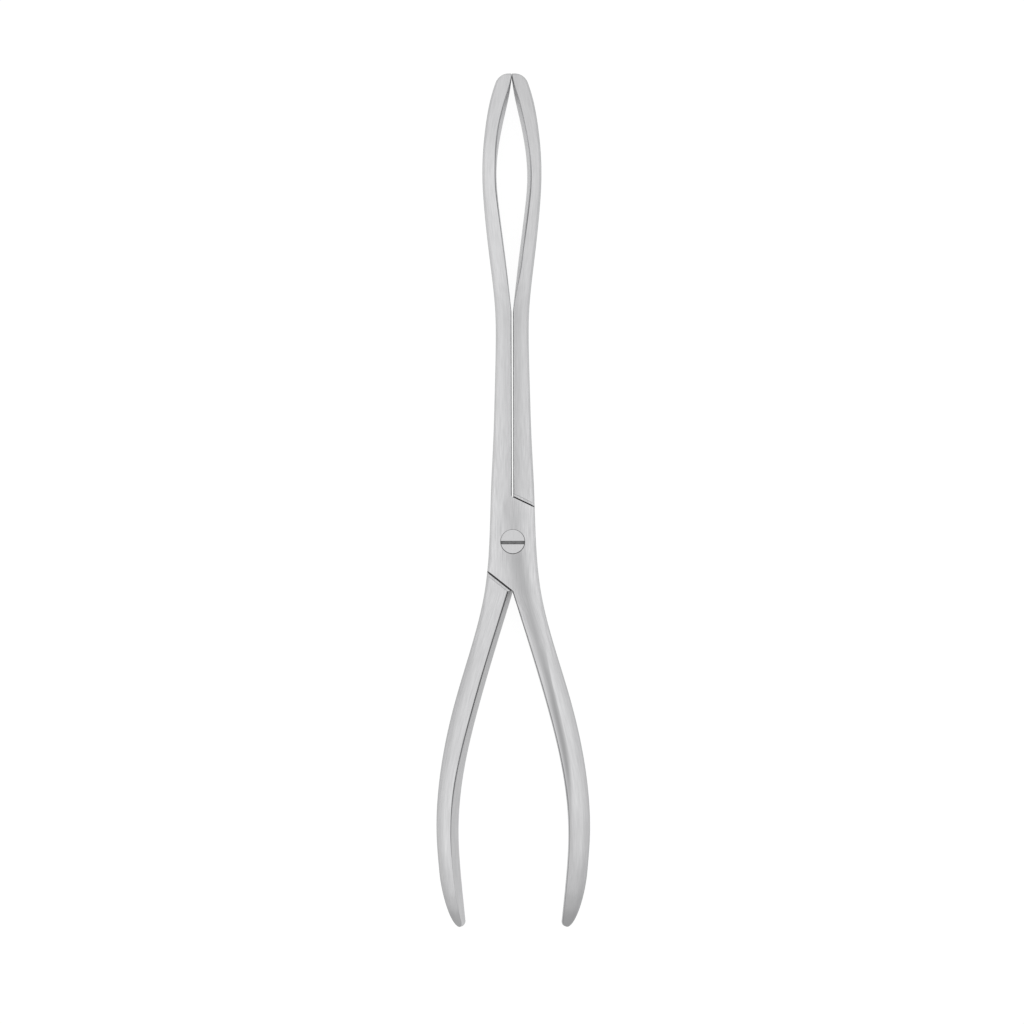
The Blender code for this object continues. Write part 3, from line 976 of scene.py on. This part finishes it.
def recess_mesh():
    """The recess in the forging's back, with filed and broken shoulder edges.

    The shoulders are filed down a little beside the joint, and the file has left a
    small step. The filed strip, the step and the shoulders' walls are painted darker, as
    shade beside and down the joint's gap. Only the recess's floor takes the second material.
    """
    # Up from the back: z, how far the shoulders stand back, painted shade, and dullness with
    # painted shade.
    levels = [
        (-JUST_OUTSIDE, FILED_WIDTH + JUST_OUTSIDE, 0.3, FILED_SHADE),
        (FILED_STEP / 2, FILED_WIDTH - FILED_STEP / 2, 0.5, FILED_SHADE),
        (FILED_DEPTH, FILED_WIDTH - FILED_STEP, 0.1, FILED_SHADE),
        (FILED_DEPTH + FILED_STEP / 4, EDGE_BREAK, 0.0, FILED_SHADE),
        (FILED_DEPTH + FILED_STEP / 4 + EDGE_BREAK, 0.0, 0.6, FILED_SHADE),
        (MIDDLE + LAP_GAP / 2, 0.0, GAP_EDGE_SHADE, FILED_SHADE),
    ]
    rings = []
    grain = []
    tone = []
    for z, back_off, painted_shade, dull_and_shade in levels:
        outline = recess_outline(back_off)
        rings.append([(x, y, z) for x, y in outline])
        grain.append([(x, y) for x, y in outline])
        tone.append([(painted_shade, dull_and_shade) for _ in outline])
    mesh = skin("recess", rings, grain, tone)
    for polygon in mesh.polygons:
        level = abs(polygon.normal.z) > LEVEL_FROM
        polygon.material_index = 1 if level and polygon.center.z > MIDDLE else 0
    return mesh


def head_bore_mesh():
    """The bore for the screw's head, which sits a little up and left in it."""
    bearing = BEARING_RADIUS + SCREW_CLEARANCE
    head = HEAD_RADIUS + SCREW_CLEARANCE
    seat = JOINT_DEPTH - HEAD_HEIGHT - SCREW_CLEARANCE
    profile = [
        (bearing, 0.0),
        (bearing, seat),
        (head, seat),
        (head, JOINT_DEPTH - HEAD_BREAK),
        (head + HEAD_BREAK + JUST_OUTSIDE, JOINT_DEPTH + JUST_OUTSIDE),
    ]
    mesh = turned_mesh("head_bore", profile)
    for vertex in mesh.vertices:
        vertex.co.x += HEAD_TO_LEFT
        vertex.co.y -= HEAD_UPWARD
    return mesh


def thread_bore_mesh():
    """The bore for the screw's threaded end, with its edge broken on the back."""
    radius = THREAD_RADIUS + SCREW_CLEARANCE
    profile = [
        (radius + HEAD_BREAK + JUST_OUTSIDE, -JUST_OUTSIDE),
        (radius, HEAD_BREAK),
        (radius, JOINT_DEPTH),
    ]
    return turned_mesh("thread_bore", profile)


def screw_mesh():
    """The screw, from its filed threaded end up to its head."""
    under_head = JOINT_DEPTH - HEAD_HEIGHT
    profile = [
        (THREAD_RADIUS - HEAD_BREAK, 0.0),
        (THREAD_RADIUS, HEAD_BREAK),
        (THREAD_RADIUS, MIDDLE),
        (BEARING_RADIUS, MIDDLE),
        (BEARING_RADIUS, under_head),
        (HEAD_RADIUS, under_head),
        (HEAD_RADIUS, JOINT_DEPTH - HEAD_BREAK),
        (HEAD_RADIUS - HEAD_BREAK, JOINT_DEPTH),
    ]
    return turned_mesh("screw", profile)


def slot_mesh():
    """The sawn slot, with its upper edges broken."""
    half = SLOT_WIDTH / 2
    levels = [
        (JOINT_DEPTH - SLOT_DEPTH, half),
        (JOINT_DEPTH - SLOT_BREAK, half),
        (JOINT_DEPTH + JUST_OUTSIDE, half + SLOT_BREAK + JUST_OUTSIDE),
    ]
    rings = []
    for z, reach in levels:
        corners = ((-1, -1), (1, -1), (1, 1), (-1, 1))
        rings.append([(BEYOND * a, -SLOT_OFFSET + reach * b, z) for a, b in corners])
    return skin("slot", rings)


def mark_material(mesh, index):
    """Gives every face of a cutter the material slot that its cut is to take."""
    for polygon in mesh.polygons:
        polygon.material_index = index
    return mesh


def carve(obj, tools):
    """Cuts the tools out of obj, keeps the result as its mesh and deletes them."""
    for number, tool in enumerate(tools):
        cutter = add_object(f"cutter_{number}", tool)
        for material in obj.data.materials:
            tool.materials.append(material)
        boolean = obj.modifiers.new(cutter.name, "BOOLEAN")
        boolean.operation = "DIFFERENCE"
        boolean.solver = "EXACT"
        boolean.object = cutter
    depsgraph = bpy.context.evaluated_depsgraph_get()
    mesh = bpy.data.meshes.new_from_object(obj.evaluated_get(depsgraph))
    for modifier in list(obj.modifiers):
        cutter = modifier.object
        obj.modifiers.remove(modifier)
        bpy.data.objects.remove(cutter, do_unlink=True)
    mesh.shade_smooth()
    mesh.set_sharp_from_angle(angle=SHARP_ANGLE)
    obj.data = mesh


def linear(hex_colour):
    """An sRGB hex colour as linear red, green, blue and alpha."""
    channels = [int(hex_colour[i:i + 2], 16) / 255 for i in (1, 3, 5)]
    made = [c / 12.92 if c <= 0.04045 else ((c + 0.055) / 1.055) ** 2.4 for c in channels]
    return (*made, 1.0)


def add_node(tree, kind, inputs=None, **settings):
    """Adds a node: settings are its properties, and inputs its sockets' values or links."""
    made = tree.nodes.new(kind)
    for name, value in settings.items():
        setattr(made, name, value)
    for name, value in (inputs or {}).items():
        if isinstance(value, bpy.types.NodeSocket):
            tree.links.new(value, made.inputs[name])
        else:
            made.inputs[name].default_value = value
    return made


def empty_tree(owner):
    """The node tree of a material or a world, with nothing in it."""
    owner.use_nodes = True
    owner.node_tree.nodes.clear()
    return owner.node_tree


def new_material(name):
    """A material with nothing in its tree but its shader and its output."""
    material = bpy.data.materials.new(name)
    tree = empty_tree(material)
    shader = add_node(tree, "ShaderNodeBsdfPrincipled")
    output = add_node(tree, "ShaderNodeOutputMaterial")
    tree.links.new(shader.outputs["BSDF"], output.inputs["Surface"])
    return material, tree, shader


def satin_stainless():
    """Forged stainless steel, belt-ground along its length to a satin finish.

    It gives the eye an even pale grey with fine lengthwise streaks and a slow cloudy
    change of tone. Shade is painted in from the tone map: dark lines in the creases, the
    joint's gaps and between the tips, and darker bands on the rounded sides, along the slit,
    down the handle's hollow and at the handles' ends.
    """
    material, tree, shader = new_material("satin_stainless")
    flat_grain = add_node(tree, "ShaderNodeUVMap", uv_map="grain")
    place = add_node(tree, "ShaderNodeTexCoord")
    grain_parts = add_node(tree, "ShaderNodeSeparateXYZ", {"Vector": flat_grain.outputs["UV"]})
    place_parts = add_node(tree, "ShaderNodeSeparateXYZ", {"Vector": place.outputs["Object"]})
    grain = add_node(tree, "ShaderNodeCombineXYZ", {
        "X": grain_parts.outputs["X"],
        "Y": grain_parts.outputs["Y"],
        "Z": place_parts.outputs["Z"],
    })
    tone = add_node(tree, "ShaderNodeUVMap", uv_map="tone")
    tone_parts = add_node(tree, "ShaderNodeSeparateXYZ", {"Vector": tone.outputs["UV"]})
    # Belt marks 0.25 mm across and 7 mm long, coarser than real ones so that they show.
    stretched = add_node(tree, "ShaderNodeMapping", {
        "Vector": grain.outputs["Vector"],
        "Scale": (1 / 0.00025, 1 / 0.007, 1 / 0.00025),
    })
    streaks = add_node(tree, "ShaderNodeTexNoise", {
        "Vector": stretched.outputs["Vector"],
        "Scale": 1.0,
        "Detail": 3.0,
        "Roughness": 0.6,
    })
    # Bands where the belt bit unevenly, 1.2 mm across and 16 mm long.
    slow = add_node(tree, "ShaderNodeMapping", {
        "Vector": grain.outputs["Vector"],
        "Scale": (1 / 0.0012, 1 / 0.016, 1 / 0.0012),
    })
    clouds = add_node(tree, "ShaderNodeTexNoise", {
        "Vector": slow.outputs["Vector"],
        "Scale": 1.0,
        "Detail": 2.0,
    })
    cloud_share = add_node(tree, "ShaderNodeMapRange", {
        "Value": clouds.outputs["Fac"],
        "From Min": 0.3,
        "From Max": 0.7,
    })
    cloud_tone = add_node(tree, "ShaderNodeMix", {
        "Factor": cloud_share.outputs["Result"],
        "A": linear("#D7D7D8"),
        "B": linear("#E3E3E4"),
    }, data_type="RGBA")
    # The joint was ground once more at the end, and its marks show the most. They swing
    # about the mean tone at twice the strength of those 40 mm from the screw.
    from_joint = add_node(tree, "ShaderNodeMath", {
        0: place_parts.outputs["Y"],
    }, operation="ABSOLUTE")
    strength = add_node(tree, "ShaderNodeMapRange", {
        "Value": from_joint.outputs[0],
        "From Min": 0.015,
        "From Max": 0.040,
        "To Min": 1.2,
        "To Max": 0.6,
    })
    centred = add_node(tree, "ShaderNodeMath", {
        0: streaks.outputs["Fac"],
        1: STREAK_MEAN,
    }, operation="SUBTRACT")
    swing = add_node(tree, "ShaderNodeMath", {
        0: centred.outputs[0],
        1: strength.outputs["Result"],
    }, operation="MULTIPLY")
    streak_share = add_node(tree, "ShaderNodeMapRange", {
        "Value": swing.outputs[0],
        "From Min": -0.22,
        "From Max": 0.22,
    })
    metal = add_node(tree, "ShaderNodeMix", {
        "Factor": streak_share.outputs["Result"],
        "A": cloud_tone.outputs["Result"],
        "B": linear("#C1C1C2"),
    }, data_type="RGBA")
    # Darker from the tone map's second number: a duller finish, and painted shade on the
    # rounded sides, along the slit, down the handle's hollow, on the inner walls, beside the
    # shoulders and at the handles' ends.
    dulled_and_shaded = add_node(tree, "ShaderNodeMix", {
        "Factor": tone_parts.outputs["Y"],
        "A": metal.outputs["Result"],
        "B": linear("#9C9C9D"),
    }, data_type="RGBA")
    # Painted shade from the tone map's first number: dark lines in the creases, down the
    # joint's gaps, between the tips and in the hollow behind each pad.
    painted_shade_mixed = add_node(tree, "ShaderNodeMix", {
        "Factor": tone_parts.outputs["X"],
        "A": dulled_and_shaded.outputs["Result"],
        "B": linear("#5A5A5B"),
    }, data_type="RGBA")
    rough = add_node(tree, "ShaderNodeMapRange", {
        "Value": streaks.outputs["Fac"],
        "From Min": 0.3,
        "From Max": 0.7,
        "To Min": 0.32,
        "To Max": 0.42,
    })
    bump = add_node(tree, "ShaderNodeBump", {
        "Height": streaks.outputs["Fac"],
        "Strength": 0.25,
        "Distance": 0.00004,
    })
    tree.links.new(painted_shade_mixed.outputs["Result"], shader.inputs["Base Color"])
    tree.links.new(rough.outputs["Result"], shader.inputs["Roughness"])
    tree.links.new(bump.outputs["Normal"], shader.inputs["Normal"])
    shader.inputs["Metallic"].default_value = 1.0
    # Steel is a little darker at a grazing angle than the shader makes it.
    shader.inputs["Specular Tint"].default_value = linear("#E8E8E8")
    return material


def milled_stainless():
    """The joint's milled faces: the same steel, duller and darker than the ground faces."""
    material, tree, shader = new_material("milled_stainless")
    place = add_node(tree, "ShaderNodeTexCoord")
    # Cutter marks 0.3 mm apart.
    marks = add_node(tree, "ShaderNodeTexNoise", {
        "Vector": place.outputs["Object"],
        "Scale": 1 / 0.0003,
        "Detail": 2.0,
    })
    colour = add_node(tree, "ShaderNodeMix", {
        "Factor": marks.outputs["Fac"],
        "A": linear("#909091"),
        "B": linear("#A4A4A5"),
    }, data_type="RGBA")
    tree.links.new(colour.outputs["Result"], shader.inputs["Base Color"])
    shader.inputs["Metallic"].default_value = 1.0
    shader.inputs["Roughness"].default_value = 0.45
    return material


def filed_screw_stainless():
    """The screw's end faces: stainless steel filed flush and brushed with the joint."""
    material, tree, shader = new_material("filed_screw_stainless")
    place = add_node(tree, "ShaderNodeTexCoord")
    # File marks 0.25 mm across and 5 mm long.
    stretched = add_node(tree, "ShaderNodeMapping", {
        "Vector": place.outputs["Object"],
        "Scale": (1 / 0.00025, 1 / 0.005, 1 / 0.00025),
    })
    streaks = add_node(tree, "ShaderNodeTexNoise", {
        "Vector": stretched.outputs["Vector"],
        "Scale": 1.0,
        "Detail": 3.0,
    })
    colour = add_node(tree, "ShaderNodeMix", {
        "Factor": streaks.outputs["Fac"],
        "A": linear("#BDBDBE"),
        "B": linear("#CDCDCE"),
    }, data_type="RGBA")
    bump = add_node(tree, "ShaderNodeBump", {
        "Height": streaks.outputs["Fac"],
        "Strength": 0.25,
        "Distance": 0.00004,
    })
    tree.links.new(colour.outputs["Result"], shader.inputs["Base Color"])
    tree.links.new(bump.outputs["Normal"], shader.inputs["Normal"])
    shader.inputs["Metallic"].default_value = 1.0
    shader.inputs["Roughness"].default_value = 0.36
    return material


def shaded_sawn_slot():
    """The slot's sawn walls and floor: rough, and painted dark as shade inside the slot."""
    material, tree, shader = new_material("shaded_sawn_slot")
    place = add_node(tree, "ShaderNodeTexCoord")
    # Saw marks and specks about 0.4 mm across.
    specks = add_node(tree, "ShaderNodeTexNoise", {
        "Vector": place.outputs["Object"],
        "Scale": 1 / 0.0004,
        "Detail": 3.0,
    })
    # Painted shade: the slot's inside takes a dark colour.
    colour = add_node(tree, "ShaderNodeMix", {
        "Factor": specks.outputs["Fac"],
        "A": linear("#545455"),
        "B": linear("#9E9E9F"),
    }, data_type="RGBA")
    tree.links.new(colour.outputs["Result"], shader.inputs["Base Color"])
    shader.inputs["Metallic"].default_value = 1.0
    shader.inputs["Roughness"].default_value = 0.5
    return material


def build_forceps():
    """The two halves and the screw, each in its node's place."""
    satin = satin_stainless()
    milled = milled_stainless()
    filed = filed_screw_stainless()
    shaded_slot = shaded_sawn_slot()

    front = add_object("front_half_forging", forging_mesh())
    front.data.materials.append(satin)
    front.data.materials.append(milled)
    carve(front, [recess_mesh(), mark_material(head_bore_mesh(), 1)])
    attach(front, "front")
    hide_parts("front_half")

    rear = add_object("rear_half_forging", turn_over(forging_mesh()))
    rear.data.materials.append(satin)
    rear.data.materials.append(milled)
    carve(rear, [turn_over(recess_mesh()), mark_material(thread_bore_mesh(), 1)])
    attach(rear, "rear")
    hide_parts("rear_half")

    screw = add_object("joint_screw", screw_mesh())
    screw.data.materials.append(filed)
    screw.data.materials.append(shaded_slot)
    carve(screw, [mark_material(slot_mesh(), 1)])
    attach(screw, "rear")
    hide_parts("pivot_screw")


def shown_as_background(tree):
    """1 for the rays that show the backdrop: camera, glossy and transmission rays."""
    rays = add_node(tree, "ShaderNodeLightPath")
    seen = rays.outputs["Is Camera Ray"]
    for other in ("Is Glossy Ray", "Is Transmission Ray"):
        either = add_node(tree, "ShaderNodeMath", {
            0: seen,
            1: rays.outputs[other],
        }, operation="MAXIMUM")
        seen = either.outputs[0]
    return seen


def build_floor():
    """A plain white table. Part of its white is its own glow, so its shadows stay light."""
    bm = bmesh.new()
    bmesh.ops.create_grid(bm, x_segments=1, y_segments=1, size=TABLE_REACH)
    mesh = bpy.data.meshes.new("floor")
    bm.to_mesh(mesh)
    bm.free()
    floor = add_object("floor", mesh)
    floor.location = (0.0, 0.0, -TABLE_DROP)
    material = bpy.data.materials.new("white_table")
    tree = empty_tree(material)
    share = add_node(tree, "ShaderNodeMath", {
        0: shown_as_background(tree),
        1: TABLE_GLOW_SHARE,
    }, operation="MULTIPLY")
    matt = add_node(tree, "ShaderNodeBsdfDiffuse", {"Color": linear("#F4F4F4")})
    glow = add_node(tree, "ShaderNodeEmission", {
        "Color": linear("#FFFFFF"),
        "Strength": TABLE_GLOW,
    })
    mixed = add_node(tree, "ShaderNodeMixShader", {
        "Fac": share.outputs[0],
        1: matt.outputs["BSDF"],
        2: glow.outputs["Emission"],
    })
    output = add_node(tree, "ShaderNodeOutputMaterial")
    tree.links.new(mixed.outputs["Shader"], output.inputs["Surface"])
    mesh.materials.append(material)


def build_world():
    """A soft grey room. The camera sees it as plain white."""
    world = bpy.data.worlds.new("studio")
    bpy.context.scene.world = world
    tree = empty_tree(world)
    rays = add_node(tree, "ShaderNodeLightPath")
    room = add_node(tree, "ShaderNodeBackground", {
        "Color": linear("#FFFFFF"),
        "Strength": ROOM_LIGHT,
    })
    white = add_node(tree, "ShaderNodeBackground", {
        "Color": linear("#FFFFFF"),
        "Strength": 1.0,
    })
    mixed = add_node(tree, "ShaderNodeMixShader", {
        "Fac": rays.outputs["Is Camera Ray"],
        1: room.outputs["Background"],
        2: white.outputs["Background"],
    })
    output = add_node(tree, "ShaderNodeOutputWorld")
    tree.links.new(mixed.outputs["Shader"], output.inputs["Surface"])


def softbox(name, place, aim, size, radiance):
    """A square area lamp with a radiance, the brightness its face shows."""
    lamp = bpy.data.lights.new(name, "AREA")
    lamp.shape = "SQUARE"
    lamp.size = size
    lamp.energy = radiance * math.pi * size ** 2
    obj = bpy.data.objects.new(name, lamp)
    bpy.context.scene.collection.objects.link(obj)
    obj.location = place
    toward = [a - p for a, p in zip(aim, place)]
    obj.rotation_mode = "QUATERNION"
    obj.rotation_quaternion = Vector(toward).to_track_quat("-Z", "Y")
    obj.visible_camera = False
    return obj


def build_lights():
    """One large softbox straight above the forceps."""
    middle_y = PHOTO_CENTRE[1]
    place = (0.0, middle_y, LAMP_HEIGHT)
    softbox("overhead_softbox", place, (0.0, middle_y, 0.0), LAMP_SIZE, LAMP_RADIANCE)


def build_camera():
    """The camera straight above, as in the photo."""
    data = bpy.data.cameras.new("camera")
    data.lens = LENS
    data.sensor_width = SENSOR
    distance = PHOTO_SPAN * LENS / SENSOR
    camera = bpy.data.objects.new("camera", data)
    bpy.context.scene.collection.objects.link(camera)
    camera.location = (*PHOTO_CENTRE, JOINT_DEPTH + distance)
    camera.rotation_euler = (0.0, 0.0, PHOTO_TURN)
    bpy.context.scene.camera = camera


build_forceps()
build_floor()
build_world()
build_lights()
build_camera()
bpy.context.scene.view_settings.view_transform = "Standard"
